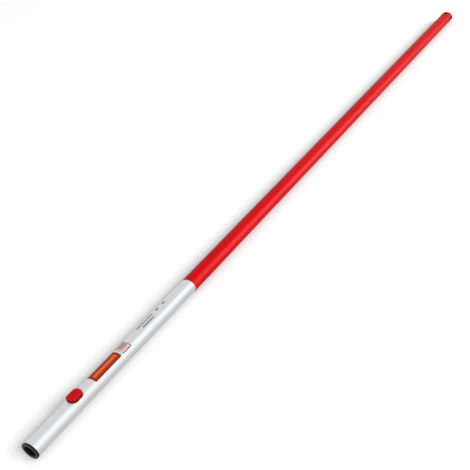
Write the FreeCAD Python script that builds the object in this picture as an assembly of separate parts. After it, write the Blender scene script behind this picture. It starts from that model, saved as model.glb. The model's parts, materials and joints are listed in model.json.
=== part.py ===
import FreeCAD, Part
import math
import os

# Quick-change tool handle: an oval aluminium tube that lies along X.  A snap-in tool socket is in its
# near end and a hanging cap in its far end.  The release button faces +Z.  The handle lies on the
# socket's collar and the cap's head, which stand a little proud of the tube and its sleeve.
# Origin: on the tube's axis, in the plane of the socket's mouth.  Millimetres throughout.

V = FreeCAD.Vector

# ---- driving dimensions -------------------------------------------------------------------------
TOTAL_LENGTH = 1504.0
TUBE_HALF_WIDTH = 13.35          # outer half size of the oval tube along Y
TUBE_HALF_HEIGHT = 11.35         # outer half size of the oval tube along Z
TUBE_WALL = 1.3

COLLAR_LENGTH = 2.8              # the part of the socket liner that stands out of the tube
COLLAR_RIM = 0.6                 # how far the collar stands proud of the tube's outside
COLLAR_EDGE_RADIUS = 0.5

SLEEVE_START = 351.0             # where the bare metal ends and the grip sleeve begins
SLEEVE_THICKNESS = 0.5

CAP_LENGTH = 20.0                # the visible head of the end cap, which the hanging holes cross
CAP_RIM = 0.25                   # how far the head stands proud of the sleeve
CAP_EDGE_RADIUS = 2.4
CAP_SHANK_LENGTH = 25.0          # the hollow part of the cap that is pressed into the tube
CAP_SHANK_WALL = 2.0
HANG_HOLE_RADIUS = 4.6
HANG_HOLE_FROM_END = 10.0

LINER_END = 109.0
LINER_GAP = 0.05                 # between the liner, or the cap's shank, and the inside of the tube
MOUTH_HALF_WIDTH = 9.5
MOUTH_HALF_HEIGHT = 7.2
LEAD_IN = 1.2                    # flare of the mouth, as depth and as width
CHANNEL_END = 76.0               # the stop that the tool's stub pushes against
CHANNEL_END_HALF_WIDTH = 7.0
CHANNEL_END_HALF_HEIGHT = 4.6

BUTTON_CENTRE = 89.4
BUTTON_LENGTH = 22.6
BUTTON_WIDTH = 17.0
BUTTON_CORNER = 6.8
BUTTON_PROUD = 3.7               # crown of the button above the tube's crown, without its ridges
BUTTON_CROWN_HALF_WIDTH = 26.0   # half width of the flat oval that the crown is part of
BUTTON_EDGE_RADIUS = 1.0
BUTTON_WALL = 1.6
BUTTON_ROOF = 3.2                # from the crown down to the hollow underneath
SKIRT_BOTTOM = 5.8
FLANGE_WIDTH = 0.7               # hidden rim that keeps the button in its window
MOVING_GAP = 0.3                 # clearance around pieces that move
RIDGE_COUNT = 5
RIDGE_PITCH = 2.7
RIDGE_WIDTH = 1.1
RIDGE_END_RADIUS = 0.5
RIDGE_HEIGHT = 0.45
RIDGE_LENGTH = 9.0
FOOT_HALF_THICKNESS = 1.2
FOOT_HALF_WIDTH = 3.0
FOOT_ARM = 18.0                  # from the rocker's pivot to the foot that presses on it
NOTCH_HEIGHT = 3.2               # gap in the skirt's front wall that the rocker passes through

PIVOT_X = 71.0
PIVOT_Z = 7.5
PIN_RADIUS = 0.9
PIN_HALF_LENGTH = 6.4
PIN_RUNNING_GAP = 0.05
LEVER_HALF_WIDTH = 3.5
LEVER_BOSS_RADIUS = 1.75
LEVER_SHOULDER = 4.0             # the rear arm's full height begins this far behind the pivot
LEVER_REAR_END = 97.0
LEVER_REAR_BOTTOM = 5.3
LEVER_REAR_TOP = 6.5
LEVER_SHOULDER_TOP = 8.3
LEVER_SHOULDER_BOTTOM = 6.7
LEVER_FRONT_END = 54.0
LEVER_FRONT_TOP = 6.5
LEVER_FRONT_BOTTOM = 5.4
HOOK_FACE_X = 58.0               # the upright face that holds the stub's notch
HOOK_FLAT = 0.8
HOOK_BOTTOM = 3.5
FOOT_GAP = 0.2                   # between the button's foot and the lever

SLOT_START = 52.5
SLOT_FRONT_FLOOR = 2.0
STOP_WALL = 2.5
STOP_WALL_TOP = 4.0
SLOT_REAR_END = 100.0
SLOT_REAR_FLOOR = 1.4
POCKET_FLOOR = 3.1

SPRING_X = 93.5
SPRING_COIL_RADIUS = 2.2
SPRING_WIRE_RADIUS = 0.35
SPRING_PITCH = 1.66
SPRING_BOTTOM = -5.45
SPRING_TOP = 5.2
WELL_RADIUS = 3.1
WELL_FLOOR = -5.5
PEG_RADIUS = 1.4
PEG_HEIGHT = 2.6

RIVET_X = 102.0
RIVET_RADIUS = 1.6
RIVET_HEAD_RADIUS = 3.0
RIVET_HEAD_PROUD = 0.45
RIVET_PAD_TOP = -5.0             # floor of the pocket that the rivet's blind end is set in
RIVET_BULB_RADIUS = 2.2
RIVET_BULB_HEIGHT = 2.0
MANDREL_RADIUS = 0.9
MANDREL_HEAD_RADIUS = 1.5
MANDREL_HEAD_HEIGHT = 1.0
RIVET_POCKET_HALF = 2.9

LABEL_HALF_WIDTH = 8.6
LABEL_THICKNESS = 0.12
LABEL_CORNER = 1.5
FRONT_LABEL_START = 123.0
FRONT_LABEL_END = 178.0
SIZE_STICKER_START = 181.0
SIZE_STICKER_END = 200.0

# ---- derived sizes ------------------------------------------------------------------------------
TUBE_START = COLLAR_LENGTH
TUBE_END = TOTAL_LENGTH - CAP_LENGTH
BORE_HALF_WIDTH = TUBE_HALF_WIDTH - TUBE_WALL
BORE_HALF_HEIGHT = TUBE_HALF_HEIGHT - TUBE_WALL
SLEEVE_HALF_WIDTH = TUBE_HALF_WIDTH + SLEEVE_THICKNESS
SLEEVE_HALF_HEIGHT = TUBE_HALF_HEIGHT + SLEEVE_THICKNESS
INSERT_HALF_WIDTH = BORE_HALF_WIDTH - LINER_GAP
INSERT_HALF_HEIGHT = BORE_HALF_HEIGHT - LINER_GAP
HANG_HOLE_X = TOTAL_LENGTH - HANG_HOLE_FROM_END
SLOT_HALF_WIDTH = LEVER_HALF_WIDTH + 0.4
REACH = 40.0                     # longer than any cross-section, for tools that cut right through
FUSE_OVERLAP = 0.5               # how far a piece runs into the one that it is fused to


# ---- shared shapes ------------------------------------------------------------------------------
def oval_wire(half_width, half_height, x):
    ellipse = Part.Ellipse(V(x, half_width, 0), V(x, 0, half_height), V(x, 0, 0))
    return Part.Wire(ellipse.toShape())


def oval_prism(half_width, half_height, x_start, x_end):
    face = Part.Face(oval_wire(half_width, half_height, x_start))
    return face.extrude(V(x_end - x_start, 0, 0))


def oval_taper(start, end):
    """A solid between two ovals, each given as (half_width, half_height, x)."""
    return Part.makeLoft([oval_wire(*start), oval_wire(*end)], True, True)


def block(x_start, x_end, half_width, z_bottom, z_top):
    return Part.makeBox(x_end - x_start, 2 * half_width, z_top - z_bottom, V(x_start, -half_width, z_bottom))


def upright_cylinder(radius, x, z_bottom, z_top):
    return Part.makeCylinder(radius, z_top - z_bottom, V(x, 0, z_bottom))


def cross_cylinder(radius, x, z, half_length):
    return Part.makeCylinder(radius, 2 * half_length, V(x, -half_length, z), V(0, 1, 0))


def rounded_prism(centre_x, length, width, corner, z_bottom, z_top):
    """An upright prism on a rounded rectangle, centred on the X axis."""
    inner_x = length / 2 - corner
    inner_y = width / 2 - corner
    diagonal = corner * math.sqrt(0.5)
    edges = []
    for sx, sy, start, end in ((1, 1, (1, 0), (0, 1)), (-1, 1, (0, 1), (-1, 0)),
                               (-1, -1, (-1, 0), (0, -1)), (1, -1, (0, -1), (1, 0))):
        cx = centre_x + sx * inner_x
        cy = sy * inner_y
        first = V(cx + start[0] * corner, cy + start[1] * corner, z_bottom)
        middle = V(cx + sx * diagonal, cy + sy * diagonal, z_bottom)
        last = V(cx + end[0] * corner, cy + end[1] * corner, z_bottom)
        edges.append(Part.Arc(first, middle, last).toShape())
    joined = []
    for index, arc in enumerate(edges):
        following = edges[(index + 1) % len(edges)]
        joined.append(arc)
        gap_start = arc.valueAt(arc.LastParameter)
        gap_end = following.valueAt(following.FirstParameter)
        joined.append(Part.makeLine(gap_start, gap_end))
    return Part.Face(Part.Wire(joined)).extrude(V(0, 0, z_top - z_bottom))


def button_prism(margin, z_bottom, z_top):
    """The button's outline, grown by a margin, as an upright prism."""
    return rounded_prism(BUTTON_CENTRE, BUTTON_LENGTH + 2 * margin, BUTTON_WIDTH + 2 * margin,
                         BUTTON_CORNER + margin, z_bottom, z_top)


def hanging_holes():
    """Two holes that cross at right angles, so that the handle hangs either way round."""
    upright = upright_cylinder(HANG_HOLE_RADIUS, HANG_HOLE_X, -REACH, REACH)
    level = cross_cylinder(HANG_HOLE_RADIUS, HANG_HOLE_X, 0, REACH)
    return upright.fuse(level)


# ---- the pieces ---------------------------------------------------------------------------------
def handle_tube():
    tube = oval_prism(TUBE_HALF_WIDTH, TUBE_HALF_HEIGHT, TUBE_START, TUBE_END)
    tube = tube.cut(oval_prism(BORE_HALF_WIDTH, BORE_HALF_HEIGHT, TUBE_START - 1, TUBE_END + 1))
    tube = tube.cut(button_prism(MOVING_GAP, 0, REACH))
    return tube.cut(upright_cylinder(RIVET_RADIUS, RIVET_X, -REACH, 0))


def grip_sleeve():
    sleeve = oval_prism(SLEEVE_HALF_WIDTH, SLEEVE_HALF_HEIGHT, SLEEVE_START, TUBE_END)
    return sleeve.cut(oval_prism(TUBE_HALF_WIDTH, TUBE_HALF_HEIGHT, SLEEVE_START - 1, TUBE_END + 1))


def liner_collar():
    collar = oval_prism(TUBE_HALF_WIDTH + COLLAR_RIM, TUBE_HALF_HEIGHT + COLLAR_RIM, 0, COLLAR_LENGTH)
    front_edge = [edge for edge in collar.Edges if edge.BoundBox.XMax < COLLAR_LENGTH / 2]
    return collar.makeFillet(COLLAR_EDGE_RADIUS, front_edge)


def stub_channel():
    channel = oval_taper((MOUTH_HALF_WIDTH, MOUTH_HALF_HEIGHT, 0),
                         (CHANNEL_END_HALF_WIDTH, CHANNEL_END_HALF_HEIGHT, CHANNEL_END))
    flare = oval_taper((MOUTH_HALF_WIDTH + LEAD_IN, MOUTH_HALF_HEIGHT + LEAD_IN, 0),
                       (MOUTH_HALF_WIDTH, MOUTH_HALF_HEIGHT, LEAD_IN))
    return channel.fuse(flare)


def mechanism_space():
    """Everything that the liner leaves free for the lever, the button, the spring and the rivet."""
    front_slot = block(SLOT_START, CHANNEL_END, SLOT_HALF_WIDTH, SLOT_FRONT_FLOOR, REACH)
    over_stop = block(CHANNEL_END, CHANNEL_END + STOP_WALL, SLOT_HALF_WIDTH, STOP_WALL_TOP, REACH)
    rear_slot = block(CHANNEL_END + STOP_WALL, SLOT_REAR_END, SLOT_HALF_WIDTH, SLOT_REAR_FLOOR, REACH)
    button_pocket = button_prism(FLANGE_WIDTH + MOVING_GAP, POCKET_FLOOR, REACH)
    rivet_pocket = block(RIVET_X - RIVET_POCKET_HALF, RIVET_X + RIVET_POCKET_HALF, RIVET_POCKET_HALF,
                         RIVET_PAD_TOP, REACH)
    spring_well = upright_cylinder(WELL_RADIUS, SPRING_X, WELL_FLOOR, SLOT_REAR_FLOOR + 1)
    spring_peg = upright_cylinder(PEG_RADIUS, SPRING_X, WELL_FLOOR, WELL_FLOOR + PEG_HEIGHT)
    space = front_slot
    for tool in (over_stop, rear_slot, button_pocket, rivet_pocket, spring_well.cut(spring_peg)):
        space = space.fuse(tool)
    return space


def socket_liner():
    liner = oval_prism(INSERT_HALF_WIDTH, INSERT_HALF_HEIGHT, COLLAR_LENGTH / 2, LINER_END)
    liner = liner.fuse(liner_collar())
    liner = liner.cut(stub_channel())
    liner = liner.cut(mechanism_space())
    liner = liner.cut(cross_cylinder(PIN_RADIUS, PIVOT_X, PIVOT_Z, PIN_HALF_LENGTH))
    return liner.cut(upright_cylinder(RIVET_RADIUS, RIVET_X, -REACH, 0))


def button_ridges(crown_half_height):
    crown = oval_prism(BUTTON_CROWN_HALF_WIDTH + RIDGE_HEIGHT, crown_half_height + RIDGE_HEIGHT,
                       BUTTON_CENTRE - BUTTON_LENGTH, BUTTON_CENTRE + BUTTON_LENGTH)
    ridges = []
    for index in range(RIDGE_COUNT):
        middle = BUTTON_CENTRE + (index - (RIDGE_COUNT - 1) / 2) * RIDGE_PITCH
        ridge = rounded_prism(middle, RIDGE_WIDTH, RIDGE_LENGTH, RIDGE_END_RADIUS,
                              crown_half_height - BUTTON_ROOF / 2, REACH)
        ridges.append(ridge.common(crown))
    return ridges


def release_button():
    crown_half_height = TUBE_HALF_HEIGHT + BUTTON_PROUD
    crown = oval_prism(BUTTON_CROWN_HALF_WIDTH, crown_half_height,
                       BUTTON_CENTRE - BUTTON_LENGTH, BUTTON_CENTRE + BUTTON_LENGTH)
    cap = button_prism(0, SKIRT_BOTTOM, REACH).common(crown)
    top_edges = [edge for edge in cap.Edges if edge.BoundBox.ZMin > TUBE_HALF_HEIGHT]
    cap = cap.makeFillet(BUTTON_EDGE_RADIUS, top_edges)
    under_tube = oval_prism(BORE_HALF_WIDTH - MOVING_GAP, BORE_HALF_HEIGHT - MOVING_GAP,
                            BUTTON_CENTRE - BUTTON_LENGTH, BUTTON_CENTRE + BUTTON_LENGTH)
    flange = button_prism(FLANGE_WIDTH, SKIRT_BOTTOM, REACH).common(under_tube)
    button = cap.fuse(flange)
    roof = crown_half_height - BUTTON_ROOF
    button = button.cut(button_prism(-BUTTON_WALL, 0, roof))
    lever_notch = block(BUTTON_CENTRE - BUTTON_LENGTH, BUTTON_CENTRE - BUTTON_LENGTH / 4, SLOT_HALF_WIDTH,
                        0, SKIRT_BOTTOM + NOTCH_HEIGHT)
    button = button.cut(lever_notch)
    foot_end = LEVER_REAR_TOP + FOOT_GAP + FOOT_HALF_THICKNESS
    foot_x = PIVOT_X + FOOT_ARM
    foot = block(foot_x - FOOT_HALF_THICKNESS, foot_x + FOOT_HALF_THICKNESS, FOOT_HALF_WIDTH,
                 foot_end, roof + FUSE_OVERLAP)
    foot = foot.fuse(cross_cylinder(FOOT_HALF_THICKNESS, foot_x, foot_end, FOOT_HALF_WIDTH))
    button = button.fuse(foot)
    for ridge in button_ridges(crown_half_height):
        button = button.fuse(ridge)
    return button.removeSplitter()


def latch_lever():
    outline = [(LEVER_REAR_END, LEVER_REAR_BOTTOM), (LEVER_REAR_END, LEVER_REAR_TOP),
               (PIVOT_X + LEVER_SHOULDER, LEVER_REAR_TOP), (PIVOT_X, LEVER_SHOULDER_TOP),
               (LEVER_FRONT_END, LEVER_FRONT_TOP), (LEVER_FRONT_END, LEVER_FRONT_BOTTOM),
               (HOOK_FACE_X - HOOK_FLAT, HOOK_BOTTOM), (HOOK_FACE_X, HOOK_BOTTOM),
               (HOOK_FACE_X, LEVER_FRONT_BOTTOM), (PIVOT_X, LEVER_SHOULDER_BOTTOM),
               (PIVOT_X + LEVER_SHOULDER, LEVER_REAR_BOTTOM)]
    points = [V(x, -LEVER_HALF_WIDTH, z) for x, z in outline]
    arm = Part.Face(Part.makePolygon(points + points[:1])).extrude(V(0, 2 * LEVER_HALF_WIDTH, 0))
    lever = arm.fuse(cross_cylinder(LEVER_BOSS_RADIUS, PIVOT_X, PIVOT_Z, LEVER_HALF_WIDTH))
    return lever.cut(cross_cylinder(PIN_RADIUS + PIN_RUNNING_GAP, PIVOT_X, PIVOT_Z, REACH))


def pivot_pin():
    return cross_cylinder(PIN_RADIUS, PIVOT_X, PIVOT_Z, PIN_HALF_LENGTH)


def return_spring():
    start = SPRING_BOTTOM + SPRING_WIRE_RADIUS
    height = SPRING_TOP - SPRING_BOTTOM - 2 * SPRING_WIRE_RADIUS
    helix = Part.makeHelix(SPRING_PITCH, height, SPRING_COIL_RADIUS)
    wire = Part.Wire(helix.Edges)
    section = Part.makeCircle(SPRING_WIRE_RADIUS, V(SPRING_COIL_RADIUS, 0, 0), V(0, 1, 0))
    coil = wire.makePipeShell([Part.Wire(section)], True, True)
    coil.translate(V(SPRING_X, 0, start))
    return coil


def rivet_body():
    head = upright_cylinder(RIVET_HEAD_RADIUS, RIVET_X, -TUBE_HALF_HEIGHT - RIVET_HEAD_PROUD,
                            -TUBE_HALF_HEIGHT + 1)
    head = head.cut(oval_prism(TUBE_HALF_WIDTH, TUBE_HALF_HEIGHT, RIVET_X - REACH, RIVET_X + REACH))
    shank = upright_cylinder(RIVET_RADIUS, RIVET_X, -TUBE_HALF_HEIGHT - RIVET_HEAD_PROUD, RIVET_PAD_TOP)
    bulb = upright_cylinder(RIVET_BULB_RADIUS, RIVET_X, RIVET_PAD_TOP, RIVET_PAD_TOP + RIVET_BULB_HEIGHT)
    body = head.fuse(shank).fuse(bulb)
    return body.cut(upright_cylinder(MANDREL_RADIUS, RIVET_X, -REACH, REACH))


def rivet_mandrel():
    head_bottom = RIVET_PAD_TOP + RIVET_BULB_HEIGHT
    shank = upright_cylinder(MANDREL_RADIUS, RIVET_X, -TUBE_HALF_HEIGHT, head_bottom)
    head = upright_cylinder(MANDREL_HEAD_RADIUS, RIVET_X, head_bottom, head_bottom + MANDREL_HEAD_HEIGHT)
    return shank.fuse(head)


def end_cap():
    head = oval_prism(SLEEVE_HALF_WIDTH + CAP_RIM, SLEEVE_HALF_HEIGHT + CAP_RIM, TUBE_END, TOTAL_LENGTH)
    end_edge = [edge for edge in head.Edges if edge.BoundBox.XMin > TUBE_END + CAP_LENGTH / 2]
    head = head.makeFillet(CAP_EDGE_RADIUS, end_edge)
    shank_start = TUBE_END - CAP_SHANK_LENGTH
    shank = oval_prism(INSERT_HALF_WIDTH, INSERT_HALF_HEIGHT, shank_start, TUBE_END + FUSE_OVERLAP)
    hollow = oval_prism(INSERT_HALF_WIDTH - CAP_SHANK_WALL, INSERT_HALF_HEIGHT - CAP_SHANK_WALL,
                        shank_start - 1, TUBE_END)
    return head.fuse(shank).cut(hollow).cut(hanging_holes())


def film(x_start, x_end):
    """A thin self-adhesive label that follows the tube's curve over its crown."""
    outer = oval_prism(TUBE_HALF_WIDTH + LABEL_THICKNESS, TUBE_HALF_HEIGHT + LABEL_THICKNESS,
                       x_start - 1, x_end + 1)
    skin = outer.cut(oval_prism(TUBE_HALF_WIDTH, TUBE_HALF_HEIGHT, x_start - 2, x_end + 2))
    cutter = rounded_prism((x_start + x_end) / 2, x_end - x_start, 2 * LABEL_HALF_WIDTH, LABEL_CORNER,
                           0, REACH)
    return skin.common(cutter)


PIECES = {
    "handle_tube": handle_tube,
    "grip_sleeve": grip_sleeve,
    "socket_liner": socket_liner,
    "release_button": release_button,
    "latch_lever": latch_lever,
    "pivot_pin": pivot_pin,
    "return_spring": return_spring,
    "rivet_body": rivet_body,
    "rivet_mandrel": rivet_mandrel,
    "end_cap": end_cap,
    "front_label": lambda: film(FRONT_LABEL_START, FRONT_LABEL_END),
    "size_sticker": lambda: film(SIZE_STICKER_START, SIZE_STICKER_END),
}

os.makedirs("parts", exist_ok=True)
for name, make in PIECES.items():
    shape = make()
    shape.exportStep("parts/" + name + ".step")
    print(name, shape.ShapeType, len(shape.Solids), "solids", round(shape.Volume, 1), "mm3", shape.isValid())
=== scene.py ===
import json
import math

import bmesh
import bpy
from mathutils import Matrix, Vector


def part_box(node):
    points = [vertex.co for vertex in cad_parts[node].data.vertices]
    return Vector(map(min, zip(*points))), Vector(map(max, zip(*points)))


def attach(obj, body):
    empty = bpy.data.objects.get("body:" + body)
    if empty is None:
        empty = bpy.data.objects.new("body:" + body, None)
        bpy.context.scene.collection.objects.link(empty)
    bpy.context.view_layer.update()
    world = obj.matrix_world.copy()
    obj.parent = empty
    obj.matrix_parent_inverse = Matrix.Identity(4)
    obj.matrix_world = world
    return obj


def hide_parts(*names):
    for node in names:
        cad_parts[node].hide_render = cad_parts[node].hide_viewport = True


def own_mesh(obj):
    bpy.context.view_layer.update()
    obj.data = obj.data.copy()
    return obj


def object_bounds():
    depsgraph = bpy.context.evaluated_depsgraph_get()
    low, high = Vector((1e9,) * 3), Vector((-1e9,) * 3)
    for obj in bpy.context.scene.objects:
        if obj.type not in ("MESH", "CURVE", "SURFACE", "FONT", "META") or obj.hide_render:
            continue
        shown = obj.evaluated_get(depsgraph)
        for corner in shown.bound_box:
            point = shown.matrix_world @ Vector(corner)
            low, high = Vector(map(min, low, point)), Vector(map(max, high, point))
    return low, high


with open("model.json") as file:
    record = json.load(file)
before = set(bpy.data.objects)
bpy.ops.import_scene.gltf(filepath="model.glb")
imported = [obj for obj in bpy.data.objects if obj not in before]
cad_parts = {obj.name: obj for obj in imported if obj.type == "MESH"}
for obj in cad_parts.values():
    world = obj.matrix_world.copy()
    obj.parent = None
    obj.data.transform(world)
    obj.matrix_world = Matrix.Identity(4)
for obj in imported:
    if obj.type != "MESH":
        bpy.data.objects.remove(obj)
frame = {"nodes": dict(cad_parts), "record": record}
cad_low, cad_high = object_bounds()
nodes = frame["nodes"]

MM = 0.001

# ---- camera, floor and light --------------------------------------------------------------------
SENSOR = 36.0                     # mm
LENS = 59.07                      # mm
LENS_SHIFT = 0.00117              # share of the frame, towards the lower right
CAMERA_TARGET = Vector((0.4892, 0.0, 0.0023))
CAMERA_DISTANCE = 1.2779
CAMERA_HEADING = 39.0             # degrees from +X towards +Y
CAMERA_PITCH = 32.77              # degrees below level
CAMERA_ROLL = -12.39              # degrees, right side down
CLIP_START = 0.05
CLIP_END = 50
FLOOR_REACH = 40.0                # metres from the origin to each side
FLOOR_ALBEDO = 0.49
SKY_STRENGTH = 1.17


def add_camera():
    heading = math.radians(CAMERA_HEADING)
    pitch = math.radians(CAMERA_PITCH)
    level = math.cos(pitch)
    forward = Vector((level * math.cos(heading), level * math.sin(heading), -math.sin(pitch)))
    level_right = forward.cross(Vector((0, 0, 1))).normalized()
    level_up = level_right.cross(forward)
    roll = math.radians(CAMERA_ROLL)
    right = level_right * math.cos(roll) + level_up * math.sin(roll)
    up = right.cross(forward)
    data = bpy.data.cameras.new("camera")
    data.sensor_width = SENSOR
    data.lens = LENS
    data.shift_x = -LENS_SHIFT
    data.shift_y = LENS_SHIFT
    data.clip_start = CLIP_START
    data.clip_end = CLIP_END
    camera = bpy.data.objects.new("camera", data)
    place = Matrix((right, up, -forward)).transposed().to_4x4()
    place.translation = CAMERA_TARGET - forward * CAMERA_DISTANCE
    camera.matrix_world = place
    bpy.context.scene.collection.objects.link(camera)
    bpy.context.scene.camera = camera


def add_softbox(name, centre, aim, size, brightness, seen_in):
    """A rectangular lamp that is as bright at any size, and is seen in either diffuse or glossy light."""
    data = bpy.data.lights.new(name, "AREA")
    data.shape = "RECTANGLE"
    data.size = size[0]
    data.size_y = size[1]
    data.energy = brightness * math.pi * size[0] * size[1]
    lamp = bpy.data.objects.new(name, data)
    lamp.location = centre
    lamp.rotation_mode = "QUATERNION"
    lamp.rotation_quaternion = (Vector(centre) - Vector(aim)).to_track_quat("Z", "Y")
    lamp.visible_diffuse = seen_in == "diffuse"
    lamp.visible_glossy = seen_in == "glossy"
    bpy.context.scene.collection.objects.link(lamp)
    return lamp


def light_only(lamp, *pieces):
    """Keeps a lamp's light to these pieces."""
    receivers = bpy.data.collections.new(lamp.name + "_receivers")
    for piece in pieces:
        receivers.objects.link(piece)
    lamp.light_linking.receiver_collection = receivers


def add_floor():
    mesh = bpy.data.meshes.new("floor")
    level = cad_low.z
    corners = [(x, y, level) for x, y in ((-1, -1), (1, -1), (1, 1), (-1, 1))]
    mesh.from_pydata([(x * FLOOR_REACH, y * FLOOR_REACH, z) for x, y, z in corners], [], [(0, 1, 2, 3)])
    floor = bpy.data.objects.new("floor", mesh)
    bpy.context.scene.collection.objects.link(floor)
    material = bpy.data.materials.new("floor_white")
    material.use_nodes = True
    shader = material.node_tree.nodes["Principled BSDF"]
    shader.inputs["Base Color"].default_value = (FLOOR_ALBEDO, FLOOR_ALBEDO, FLOOR_ALBEDO, 1)
    shader.inputs["Roughness"].default_value = 1.0
    shader.inputs["Specular IOR Level"].default_value = 0.0
    mesh.materials.append(material)


def add_sky():
    world = bpy.data.worlds.new("studio")
    world.use_nodes = True
    background = world.node_tree.nodes["Background"]
    background.inputs["Color"].default_value = (1, 1, 1, 1)
    background.inputs["Strength"].default_value = SKY_STRENGTH
    bpy.context.scene.world = world
    bpy.context.scene.view_settings.view_transform = "Standard"


add_camera()
add_sky()
add_floor()
add_softbox("key_softbox", centre=(0.2, -17.0, 10.5), aim=(0.6, 0, 0), size=(20.0, 8.5),
            brightness=16.8, seen_in="diffuse")
add_softbox("broad_softbox", centre=(2.4, -1.69, 1.66), aim=(2.4, 0, 0), size=(5.4, 3.3),
            brightness=0.58, seen_in="glossy")
sheen = add_softbox("sheen_softbox", centre=(3.5, -2.70, 1.35), aim=(3.5, 0, 0), size=(3.2, 2.9),
                    brightness=19.0, seen_in="glossy")


# ---- mesh helpers -------------------------------------------------------------------------------
AROUND = 192                      # sides of an oval piece
SHARP = math.radians(35)          # edges that turn by more than this stay crisp


def object_from(mesh, name):
    """Turns a finished bmesh into a smooth-shaded object with crisp edges."""
    bmesh.ops.recalc_face_normals(mesh, faces=mesh.faces)
    data = bpy.data.meshes.new(name)
    mesh.to_mesh(data)
    mesh.free()
    data.shade_smooth()
    data.set_sharp_from_angle(angle=SHARP)
    piece = bpy.data.objects.new(name, data)
    bpy.context.scene.collection.objects.link(piece)
    return piece


def bridge_rings(mesh, rings, closed):
    """Joins rings of equal length by quads; a closed run also joins the last ring to the first."""
    following = rings[1:] + rings[:1] if closed else rings[1:]
    for ring, partner in zip(rings, following):
        count = len(ring)
        for step in range(count):
            beside = (step + 1) % count
            mesh.faces.new((ring[step], partner[step], partner[beside], ring[beside]))


def oval_shell(name, profile):
    """A closed shell: a loop of (x, half width, half height) points carried round an oval."""
    mesh = bmesh.new()
    rings = []
    for x, half_width, half_height in profile:
        ring = []
        for step in range(AROUND):
            turn = 2 * math.pi * step / AROUND
            ring.append(mesh.verts.new((x, half_width * math.cos(turn), half_height * math.sin(turn))))
        rings.append(ring)
    bridge_rings(mesh, rings, True)
    return object_from(mesh, name)


def stations(start, end, spacing):
    """Evenly spaced places from start to end, both included, as near the spacing as fits."""
    count = max(1, round((end - start) / spacing))
    return [start + (end - start) * step / count for step in range(count + 1)]


def half_sizes(node):
    """Half width and half height of a node that is centred on the X axis."""
    low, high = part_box(node)
    return (high.y - low.y) / 2, (high.z - low.z) / 2


def upright_prism(name, outline, bottom, top):
    """A cutter: a flat outline of (x, y) points carried upwards."""
    mesh = bmesh.new()
    rings = [[mesh.verts.new((x, y, z)) for x, y in outline] for z in (bottom, top)]
    bridge_rings(mesh, rings, False)
    mesh.faces.new(rings[0])
    mesh.faces.new(rings[1])
    return object_from(mesh, name)


def cut(piece, cutter):
    """Cuts one piece with another, which is then removed."""
    modifier = piece.modifiers.new("cut", "BOOLEAN")
    modifier.operation = "DIFFERENCE"
    modifier.solver = "EXACT"
    modifier.object = cutter
    depsgraph = bpy.context.evaluated_depsgraph_get()
    data = bpy.data.meshes.new_from_object(piece.evaluated_get(depsgraph))
    piece.modifiers.clear()
    piece.data = data
    data.set_sharp_from_angle(angle=SHARP)
    bpy.data.objects.remove(cutter)


# ---- pieces -------------------------------------------------------------------------------------
TUBE_WALL = 1.3 * MM
TUBE_SPACING = 4 * MM             # between the tube's rings of points
SLEEVE_SPACING = 20 * MM
SLEEVE_CLEARANCE = 0.02 * MM      # keeps the sleeve's inside off the tube
SLEEVE_EDGE_STEPS = 6
SLEEVE_EDGE_DEPTH = 0.9           # share of the sleeve's wall that its edge rounds off
EDGE_BREAK = 0.2 * MM             # rounding of cut metal edges
BUTTON_CORNER = 6.8 * MM
FLANGE_WIDTH = 0.7 * MM           # the button's hidden rim, which is part of its box
MOVING_GAP = 0.3 * MM
RIVET_RADIUS = 1.6 * MM
RIVET_CORNER_SHARE = 0.999        # just under a full round, so that no two points of the outline meet
CORNER_STEPS = 12
SAME_POINT = 0.001 * MM           # points nearer than this are one point

SPRING_WIRE_RADIUS = 0.35 * MM
SPRING_COIL_RADIUS = 2.2 * MM
SPRING_BOTTOM = -5.45 * MM
SPRING_TOP = 5.2 * MM
SPRING_ACTIVE_TURNS = 5
STEPS_PER_TURN = 36
WIRE_SIDES = 12


def rounded_outline(centre_x, half_length, half_width, corner):
    """A rounded rectangle's (x, y) points, centred on the X axis."""
    points = []
    for quarter, (sx, sy) in enumerate(((1, 1), (-1, 1), (-1, -1), (1, -1))):
        for step in range(CORNER_STEPS + 1):
            turn = math.pi / 2 * (quarter + step / CORNER_STEPS)
            points.append((centre_x + sx * (half_length - corner) + corner * math.cos(turn),
                           sy * (half_width - corner) + corner * math.sin(turn)))
    return points


def cut_button_window(tube):
    low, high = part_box("release_button")
    grow = MOVING_GAP - FLANGE_WIDTH
    outline = rounded_outline((low.x + high.x) / 2, (high.x - low.x) / 2 + grow, (high.y - low.y) / 2 + grow,
                              BUTTON_CORNER + MOVING_GAP)
    cut(tube, upright_prism("window_cutter", outline, 0, 2 * high.z))


def cut_rivet_hole(tube):
    low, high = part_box("rivet_body")
    centre_x = (low.x + high.x) / 2
    corner = RIVET_RADIUS * RIVET_CORNER_SHARE
    outline = rounded_outline(centre_x, RIVET_RADIUS, RIVET_RADIUS, corner)
    cut(tube, upright_prism("rivet_cutter", outline, 2 * low.z, 0))


def make_tube():
    low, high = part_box("handle_tube")
    half_width, half_height = half_sizes("handle_tube")
    outside = stations(low.x + EDGE_BREAK, high.x - EDGE_BREAK, TUBE_SPACING)
    profile = [(low.x, half_width - EDGE_BREAK, half_height - EDGE_BREAK)]
    profile += [(x, half_width, half_height) for x in outside]
    profile += [(high.x, half_width - EDGE_BREAK, half_height - EDGE_BREAK)]
    profile += [(x, half_width - TUBE_WALL, half_height - TUBE_WALL) for x in (high.x, low.x)]
    tube = oval_shell("tube", profile)
    cut_button_window(tube)
    cut_rivet_hole(tube)
    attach(tube, "handle")
    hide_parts("handle_tube")
    return tube


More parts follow.
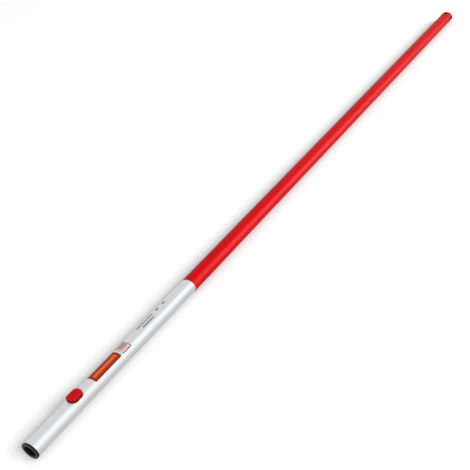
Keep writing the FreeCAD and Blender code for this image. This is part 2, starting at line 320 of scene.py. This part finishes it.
def make_sleeve():
    low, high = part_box("grip_sleeve")
    half_width, half_height = half_sizes("grip_sleeve")
    inner_width, inner_height = half_sizes("handle_tube")
    wall = half_width - inner_width
    profile = []
    for step in range(SLEEVE_EDGE_STEPS + 1):
        turn = math.pi / 2 * step / SLEEVE_EDGE_STEPS
        inset = wall * (1 - math.sin(turn)) * SLEEVE_EDGE_DEPTH
        profile.append((low.x + wall * (1 - math.cos(turn)), half_width - inset, half_height - inset))
    profile += [(x, half_width, half_height) for x in stations(low.x + 2 * wall, high.x, SLEEVE_SPACING)]
    profile += [(x, inner_width + SLEEVE_CLEARANCE, inner_height + SLEEVE_CLEARANCE) for x in (high.x, low.x)]
    sleeve = oval_shell("sleeve", profile)
    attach(sleeve, "handle")
    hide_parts("grip_sleeve")
    return sleeve


def make_cap():
    """The end cap's own surface, closed where its two holes cross."""
    mesh = bmesh.new()
    mesh.from_mesh(nodes["end_cap"].data)
    bmesh.ops.remove_doubles(mesh, verts=mesh.verts, dist=SAME_POINT)
    cap = object_from(mesh, "cap")
    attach(cap, "handle")
    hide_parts("end_cap")
    return cap


def spring_height(turn, turns):
    """Height of the wire's centre: one close turn at each end, and evenly open turns between."""
    bottom = SPRING_BOTTOM + SPRING_WIRE_RADIUS / 2
    top = SPRING_TOP - SPRING_WIRE_RADIUS / 2
    close = 2 * SPRING_WIRE_RADIUS
    if turn < 1:
        return bottom + close * turn
    if turn > turns - 1:
        return top - close * (turns - turn)
    return bottom + close + (top - bottom - 2 * close) * (turn - 1) / (turns - 2)


def make_spring():
    low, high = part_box("return_spring")
    centre = Vector(((low.x + high.x) / 2, 0, 0))
    turns = SPRING_ACTIVE_TURNS + 2
    mesh = bmesh.new()
    rings = []
    for step in range(turns * STEPS_PER_TURN + 1):
        turn = step / STEPS_PER_TURN
        outward = Vector((math.cos(2 * math.pi * turn), math.sin(2 * math.pi * turn), 0))
        middle = centre + outward * SPRING_COIL_RADIUS + Vector((0, 0, spring_height(turn, turns)))
        ring = []
        for side in range(WIRE_SIDES):
            angle = 2 * math.pi * side / WIRE_SIDES
            spoke = outward * math.cos(angle) + Vector((0, 0, math.sin(angle)))
            point = middle + spoke * SPRING_WIRE_RADIUS
            point.z = min(max(point.z, SPRING_BOTTOM), SPRING_TOP)
            ring.append(mesh.verts.new(point))
        rings.append(ring)
    bridge_rings(mesh, rings, False)
    mesh.faces.new(rings[0])
    mesh.faces.new(rings[-1])
    spring = object_from(mesh, "spring")
    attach(spring, "handle")
    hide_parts("return_spring")
    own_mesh(spring)
    return spring


# ---- material helpers ---------------------------------------------------------------------------
MIX_FACTOR = 0                    # sockets of a mix node that is set to colours
MIX_FIRST = 6
MIX_SECOND = 7
MIX_RESULT = 2


class Finish:
    """A Principled material that is built up from patterns in the object's own metres."""

    def __init__(self, name, roughness, metallic=0.0, specular=0.5):
        self.material = bpy.data.materials.new(name)
        self.material.use_nodes = True
        self.tree = self.material.node_tree
        self.shader = self.tree.nodes["Principled BSDF"]
        self.shader.inputs["Roughness"].default_value = roughness
        self.shader.inputs["Metallic"].default_value = metallic
        self.shader.inputs["Specular IOR Level"].default_value = specular
        self.place = self.tree.nodes.new("ShaderNodeTexCoord").outputs["Object"]
        self.split = self.tree.nodes.new("ShaderNodeSeparateXYZ")
        self.tree.links.new(self.place, self.split.inputs[0])

    def axis(self, name):
        return self.split.outputs[name]

    def facing(self, name):
        """How far the surface faces along an axis, from -1 to 1."""
        source = self.tree.nodes.new("ShaderNodeTexCoord").outputs["Normal"]
        split = self.tree.nodes.new("ShaderNodeSeparateXYZ")
        self.tree.links.new(source, split.inputs[0])
        return split.outputs[name]

    def feed(self, socket, value):
        """Sets a socket from another socket, a colour or a number."""
        if isinstance(value, bpy.types.NodeSocket):
            self.tree.links.new(value, socket)
        elif isinstance(value, tuple):
            socket.default_value = (*value, 1)
        else:
            socket.default_value = value

    def math(self, operation, *values):
        node = self.tree.nodes.new("ShaderNodeMath")
        node.operation = operation
        for socket, value in zip(node.inputs, values):
            self.feed(socket, value)
        return node.outputs[0]

    def noise(self, per_metre, detail=2.0, stretch=(1, 1, 1), turn=0.0):
        """Cloudy pattern with so many cells to the metre, drawn out where the stretch is small."""
        mapping = self.tree.nodes.new("ShaderNodeMapping")
        mapping.inputs["Scale"].default_value = stretch
        mapping.inputs["Rotation"].default_value = (0, 0, turn)
        texture = self.tree.nodes.new("ShaderNodeTexNoise")
        texture.inputs["Scale"].default_value = per_metre
        texture.inputs["Detail"].default_value = detail
        self.tree.links.new(self.place, mapping.inputs["Vector"])
        self.tree.links.new(mapping.outputs["Vector"], texture.inputs["Vector"])
        return texture.outputs["Fac"]

    def ramp(self, value, low, high, to_low=0.0, to_high=1.0):
        """Carries a value from one range to another with eased ends."""
        node = self.tree.nodes.new("ShaderNodeMapRange")
        node.interpolation_type = "SMOOTHSTEP"
        for socket, number in zip(node.inputs, (value, low, high, to_low, to_high)):
            self.feed(socket, number)
        return node.outputs["Result"]

    def mix(self, factor, first, second):
        """The first colour where the factor is 0, and the second where it is 1."""
        node = self.tree.nodes.new("ShaderNodeMix")
        node.data_type = "RGBA"
        self.feed(node.inputs[MIX_FACTOR], factor)
        self.feed(node.inputs[MIX_FIRST], first)
        self.feed(node.inputs[MIX_SECOND], second)
        return node.outputs[MIX_RESULT]

    def length(self, first, second):
        """Distance from two offsets at right angles."""
        squares = [self.math("POWER", offset, 2.0) for offset in (first, second)]
        return self.math("SQRT", self.math("ADD", *squares))

    def band(self, value, centre, half, soft):
        """1 within half of the centre and 0 outside, with a soft edge."""
        distance = self.math("ABSOLUTE", self.math("SUBTRACT", value, centre))
        return self.ramp(distance, half - soft, half + soft, 1.0, 0.0)

    def patch(self, x, y, half_x, half_y, soft):
        """A rectangle centred on (x, y), as seen from above or below."""
        along = self.band(self.axis("X"), x, half_x, soft)
        across = self.band(self.axis("Y"), y, half_y, soft)
        return self.math("MULTIPLY", along, across)

    def dashes(self, start, end, y, pitch, filled, half_height, soft):
        """A row of short bars from start to end along X."""
        phase = self.math("FRACT", self.math("DIVIDE", self.axis("X"), pitch))
        bars = self.band(phase, 0.5, filled / 2, soft / pitch)
        row = self.patch((start + end) / 2, y, (end - start) / 2, half_height, soft)
        return self.math("MULTIPLY", bars, row)

    def union(self, first, *others):
        """The highest of several patterns."""
        for other in others:
            first = self.math("MAXIMUM", first, other)
        return first

    def colour(self, value):
        self.feed(self.shader.inputs["Base Color"], value)

    def roughness(self, value):
        self.feed(self.shader.inputs["Roughness"], value)

    def bump(self, *layers):
        """Stacks (height pattern, depth in metres) layers."""
        normal = None
        for height, depth in layers:
            node = self.tree.nodes.new("ShaderNodeBump")
            node.inputs["Distance"].default_value = depth
            self.tree.links.new(height, node.inputs["Height"])
            if normal is not None:
                self.tree.links.new(normal, node.inputs["Normal"])
            normal = node.outputs["Normal"]
        self.tree.links.new(normal, self.shader.inputs["Normal"])

    def put_on(self, piece):
        piece.data.materials.clear()
        piece.data.materials.append(self.material)


# ---- materials ----------------------------------------------------------------------------------
LENGTHWISE = (0.006, 1, 1)        # stretch of marks that an extrusion leaves
SOFT_PRINT = 0.15 * MM            # blur of a printed edge
HOLE_SHADE_FADE = (0.1 * MM, 0.7 * MM)  # painted shade fades out between these distances past a hanging hole's rim
LABEL_BORDER = 2.1 * MM
STICKER_LINE = (0.9 * MM, 1.2 * MM)  # the sticker's dark edge fades out between these depths
FILM_RIPPLE = 0.008 * MM


def print_on_tube(finish):
    """1 on two rows of plain dashes and two short bars after them, worn away in places."""
    rows = [finish.dashes(start=227 * MM, end=265 * MM, y=4.1 * MM, pitch=3.4 * MM, filled=0.74,
                          half_height=1.9 * MM, soft=SOFT_PRINT),
            finish.dashes(start=235 * MM, end=261 * MM, y=-2.5 * MM, pitch=3.8 * MM, filled=0.78,
                          half_height=1.3 * MM, soft=SOFT_PRINT)]
    ticks = [finish.patch(x=x, y=3.3 * MM, half_x=3.2 * MM, half_y=1.8 * MM, soft=SOFT_PRINT)
             for x in (276.5 * MM, 292.5 * MM)]
    broken = finish.ramp(finish.noise(700), 0.25, 0.42)
    return finish.math("MULTIPLY", finish.union(*rows, *ticks), broken)


def dress_tube(tube):
    finish = Finish("brushed_tube", 0.33, metallic=1.0)
    fine = finish.noise(2500, 3, LENGTHWISE)
    lines = finish.noise(350, 2, LENGTHWISE)
    smudges = finish.noise(14, 4)
    scratch_place = finish.ramp(finish.noise(45, 2), 0.60, 0.66)
    scratch_line = finish.band(finish.noise(700, 1, (0.05, 1, 1), 0.5), 0.5, 0.006, 0.004)
    scratches = finish.math("MULTIPLY", scratch_place, scratch_line)
    metal = finish.mix(finish.ramp(lines, 0.35, 0.65), (0.535, 0.540, 0.547), (0.570, 0.574, 0.580))
    metal = finish.mix(finish.ramp(smudges, 0.45, 0.75, 0.0, 0.25), metal, (0.505, 0.51, 0.52))
    finish.colour(finish.mix(finish.math("MULTIPLY", print_on_tube(finish), 0.9), metal, (0.03, 0.03, 0.035)))
    base = finish.ramp(fine, 0.30, 0.70, 0.27, 0.35)
    worn = finish.math("ADD", base, finish.ramp(smudges, 0.35, 0.75, 0.0, 0.07))
    finish.roughness(finish.math("ADD", worn, finish.math("MULTIPLY", scratches, 0.12)))
    finish.bump((fine, 0.012 * MM), (lines, 0.020 * MM), (scratches, -0.01 * MM))
    finish.put_on(tube)


def dress_sleeve(sleeve):
    finish = Finish("sleeve_vinyl", 0.40, metallic=0.03, specular=0.03)
    peel = finish.noise(1100, 2)
    lines = finish.noise(420, 2, LENGTHWISE)
    clouds = finish.noise(9, 3)
    # real rub wear on the sleeve: random paler patches
    wear_and_painted_light = finish.ramp(finish.noise(60, 5), 0.58, 0.72)
    red = finish.mix(finish.ramp(clouds, 0.35, 0.70), (0.260, 0.0005, 0.002), (0.238, 0.0005, 0.001))
    finish.colour(finish.mix(finish.math("MULTIPLY", wear_and_painted_light, 0.18), red, (0.38, 0.006, 0.010)))
    satin = finish.ramp(lines, 0.30, 0.70, 0.36, 0.43)
    finish.roughness(finish.math("ADD", satin, finish.math("MULTIPLY", wear_and_painted_light, 0.08)))
    finish.bump((peel, 0.02 * MM), (lines, 0.03 * MM))
    finish.put_on(sleeve)


def in_hanging_holes(finish):
    """1 on the walls of the holes that cross the cap, fading to 0 just past their rims."""
    start, end = HOLE_SHADE_FADE
    reaches = []
    for mount in frame["record"]["mounts"]:
        if mount["kind"] == "bore":
            radius = mount["dims"]["r_mm"] * MM
            across = "Y" if mount["axis"][2] else "Z"
            along = finish.math("SUBTRACT", finish.axis("X"), mount["pos_m"][0])
            reach = finish.length(along, finish.axis(across))
            reaches.append(finish.ramp(reach, radius + start, radius + end, 1.0, 0.0))
    return finish.union(*reaches)


def dress_moulded(piece, name, light, dark, roughness, grain_per_metre, grain_depth, specular,
                  wall=None, wear_and_painted_light=None, painted_hole_shade=None):
    """Moulded plastic: a fine eroded grain, faint flow marks and handling wear.  Upright walls may be
    darker with painted shade, faces towards -X paler with painted light, and the hanging holes darkened with
    painted shade."""
    finish = Finish(name, roughness, specular=specular)
    grain = finish.noise(grain_per_metre, 3)
    flow = finish.noise(70, 3, (0.4, 1, 1))
    colour = finish.mix(finish.ramp(flow, 0.30, 0.70), light, dark)
    # painted shade: faces that stand upright or face downwards get the darker wall colour
    if wall is not None:
        facing = finish.math("ADD", finish.facing("Z"), finish.ramp(grain, 0.30, 0.70, -0.05, 0.05))
        colour = finish.mix(finish.ramp(facing, 0.10, 0.50), wall, colour)
    # painted light: faces towards -X get the paler colour, standing in for light falling on the front
    if wear_and_painted_light is not None:
        facing = finish.math("ADD", finish.facing("X"), finish.ramp(grain, 0.30, 0.70, -0.03, 0.03))
        colour = finish.mix(finish.ramp(facing, -0.96, -0.80), wear_and_painted_light, colour)
    # painted shade: the walls of the hanging holes and their rims are darkened
    if painted_hole_shade is not None:
        colour = finish.mix(in_hanging_holes(finish), colour, painted_hole_shade)
    finish.colour(colour)
    worn = finish.ramp(finish.noise(180, 4), 0.50, 0.75, 0.0, 0.10)
    base = finish.ramp(grain, 0.30, 0.70, roughness - 0.05, roughness + 0.05)
    finish.roughness(finish.math("ADD", base, worn))
    finish.bump((grain, grain_depth))
    finish.put_on(piece)


def dress_metal(piece, name, light, dark, roughness, per_metre, stretch=(1, 1, 1)):
    """Bare or plated metal with fine directional marks and dull patches."""
    finish = Finish(name, roughness, metallic=1.0)
    marks = finish.noise(per_metre, 3, stretch)
    patches = finish.noise(240, 3)
    finish.colour(finish.mix(finish.ramp(patches, 0.35, 0.70), light, dark))
    finish.roughness(finish.ramp(marks, 0.30, 0.70, roughness - 0.07, roughness + 0.08))
    finish.bump((marks, 0.01 * MM))
    finish.put_on(piece)


def dress_front_label():
    """A coloured film with a dark border, which carries one plain stripe."""
    low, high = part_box("front_label")
    centre_x = (low.x + high.x) / 2
    half_length = (high.x - low.x) / 2
    finish = Finish("label_film", 0.36, specular=0.05)
    inside = finish.patch(centre_x, 0, half_length - LABEL_BORDER, high.y - LABEL_BORDER, SOFT_PRINT)
    stripe = finish.patch(x=centre_x, y=-1.0 * MM, half_x=half_length - 2 * LABEL_BORDER, half_y=2.4 * MM,
                          soft=4 * SOFT_PRINT)
    ink = finish.ramp(finish.noise(1500, 3), 0.3, 0.7)
    ground = finish.mix(ink, (0.19, 0.013, 0.002), (0.165, 0.011, 0.002))
    printed = finish.mix(stripe, ground, (0.33, 0.058, 0.013))
    finish.colour(finish.mix(inside, (0.10, 0.006, 0.004), printed))
    finish.roughness(finish.ramp(finish.noise(130, 3), 0.3, 0.7, 0.30, 0.42))
    finish.bump((finish.noise(500, 2), FILM_RIPPLE))
    finish.put_on(nodes["front_label"])


def dress_size_sticker():
    """Pale paper with three rows of plain dashes and a dark line along two of its edges."""
    low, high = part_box("size_sticker")
    centre_x = (low.x + high.x) / 2
    line, fade = STICKER_LINE
    finish = Finish("sticker_film", 0.38, specular=0.12)
    side_edge = finish.ramp(finish.axis("Y"), low.y + line, low.y + fade, 1.0, 0.0)
    far_edge = finish.ramp(finish.axis("X"), high.x - fade, high.x - line, 0.0, 1.0)
    frame_line = finish.union(side_edge, far_edge)
    rows = [finish.dashes(start=centre_x - 5 * MM, end=centre_x + 7 * MM, y=y * MM, pitch=pitch * MM,
                          filled=0.66, half_height=1.0 * MM, soft=SOFT_PRINT)
            for y, pitch in ((4.8, 3.1), (1.6, 3.7), (-1.6, 4.3))]
    fibres = finish.ramp(finish.noise(300, 3), 0.3, 0.7)
    paper = finish.mix(fibres, (0.30, 0.20, 0.205), (0.275, 0.18, 0.185))
    printed = finish.mix(finish.union(*rows), paper, (0.08, 0.016, 0.020))
    finish.colour(finish.mix(frame_line, printed, (0.03, 0.03, 0.033)))
    finish.roughness(finish.ramp(finish.noise(160, 3), 0.3, 0.7, 0.33, 0.44))
    finish.bump((finish.noise(500, 2), FILM_RIPPLE))
    finish.put_on(nodes["size_sticker"])


sleeve = make_sleeve()
cap = make_cap()
light_only(sheen, sleeve, cap)
dress_tube(make_tube())
dress_sleeve(sleeve)
dress_metal(make_spring(), "spring_wire", light=(0.50, 0.51, 0.53), dark=(0.40, 0.41, 0.43),
            roughness=0.28, per_metre=4000)
# the hole colour is painted shade in and around the hanging holes
dress_moulded(cap, "cap_plastic", light=(0.25, 0.001, 0.003), dark=(0.22, 0.001, 0.002),
              roughness=0.42, grain_per_metre=2600, grain_depth=0.015 * MM, specular=0.03,
              painted_hole_shade=(0.035, 0.0004, 0.0006))
# the liner's faces towards -X get a paler colour as painted light
dress_moulded(nodes["socket_liner"], "liner_plastic",
              light=(0.005, 0.005, 0.006), dark=(0.003, 0.003, 0.004), roughness=0.42,
              grain_per_metre=2200, grain_depth=0.02 * MM, specular=0.06, wear_and_painted_light=(0.034, 0.035, 0.037))
# the wall colour is painted shade on the button's upright walls
dress_moulded(nodes["release_button"], "button_plastic",
              light=(0.29, 0.001, 0.003), dark=(0.25, 0.001, 0.002), roughness=0.34,
              grain_per_metre=2800, grain_depth=0.012 * MM, specular=0.04, wall=(0.10, 0.001, 0.001))
dress_metal(nodes["latch_lever"], "lever_zinc", light=(0.60, 0.61, 0.64), dark=(0.47, 0.48, 0.52),
            roughness=0.34, per_metre=1400, stretch=(0.05, 1, 1))
dress_metal(nodes["pivot_pin"], "pin_steel", light=(0.62, 0.62, 0.63), dark=(0.52, 0.52, 0.54),
            roughness=0.24, per_metre=3500, stretch=(1, 0.05, 1))
dress_metal(nodes["rivet_body"], "rivet_aluminium", light=(0.60, 0.61, 0.62), dark=(0.50, 0.51, 0.52),
            roughness=0.36, per_metre=1800)
dress_metal(nodes["rivet_mandrel"], "mandrel_steel", light=(0.40, 0.40, 0.41), dark=(0.27, 0.27, 0.28),
            roughness=0.44, per_metre=2400)
dress_front_label()
dress_size_sticker()
